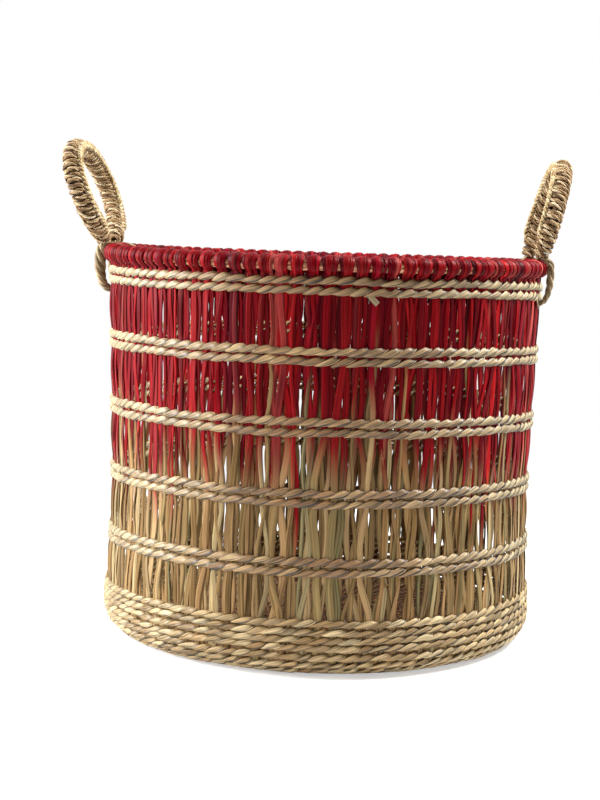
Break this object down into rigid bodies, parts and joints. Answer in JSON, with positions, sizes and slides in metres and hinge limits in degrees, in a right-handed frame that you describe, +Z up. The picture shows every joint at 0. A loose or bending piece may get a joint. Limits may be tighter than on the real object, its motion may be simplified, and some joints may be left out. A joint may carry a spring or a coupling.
{
  "type": "natural fibre basket",
  "caption": "Round open-work storage basket of twined rush stems with a dip-dyed rim and two wrapped rope handles that swing on the rim.",
  "frame": {"origin": "middle of the flat underside, on the basket's axis", "axes": "+Z up along the basket's axis, +X towards the right-hand handle, +Y away from the viewer of the picture"},
  "size_m": [0.4601, 0.401, 0.4403],
  "materials": {
    "stems": "satin",
    "weavers": "satin",
    "rim_core": "matte",
    "rope": "matte",
    "wrapping": "matte",
    "lashing": "matte"
  },
  "bodies": {
    "basket": {"stakes_01": "stems", "stakes_02": "stems", "stakes_03": "stems", "stakes_04": "stems", "stakes_05": "stems", "stakes_06": "stems", "stakes_07": "stems", "stakes_08": "stems", "stakes_09": "stems", "stakes_10": "stems", "stakes_11": "stems", "stakes_12": "stems", "base_lower_twining": "weavers", "base_upper_twining": "weavers", "foot_row_1": "weavers", "foot_row_2": "weavers", "foot_row_3": "weavers", "foot_row_4": "weavers", "foot_row_5": "weavers", "foot_row_6": "weavers", "foot_row_7": "weavers", "foot_row_8": "weavers", "foot_row_9": "weavers", "foot_inner_twining": "weavers", "band_1_upper_row": "weavers", "band_1_lower_row": "weavers", "band_1_inner_rows": "weavers", "band_2_upper_row": "weavers", "band_2_lower_row": "weavers", "band_2_inner_rows": "weavers", "band_3_upper_row": "weavers", "band_3_lower_row": "weavers", "band_3_inner_rows": "weavers", "band_4_upper_row": "weavers", "band_4_lower_row": "weavers", "band_4_inner_rows": "weavers", "band_5_upper_row": "weavers", "band_5_lower_row": "weavers", "band_5_inner_rows": "weavers", "rim_core": "rim_core", "handle_left_first_lashing": "lashing", "handle_left_second_lashing": "lashing", "handle_right_first_lashing": "lashing", "handle_right_second_lashing": "lashing"},
    "handle_left": {"handle_left_rope": "rope", "handle_left_wrapping": "wrapping"},
    "handle_right": {"handle_right_rope": "rope", "handle_right_wrapping": "wrapping"}
  },
  "joints": [
    {"name": "handle_left_hinge", "type": "hinge", "parent": "basket", "child": "handle_left", "pos_m": [-0.20083, 0.01316, 0.35077], "axis": [-0.0654, -0.9979, 0], "range_deg": [-80, 44]},
    {"name": "handle_right_hinge", "type": "hinge", "parent": "basket", "child": "handle_right", "pos_m": [0.19067, 0, 0.35077], "axis": [0, 1, 0], "range_deg": [-75, 50]}
  ]
}
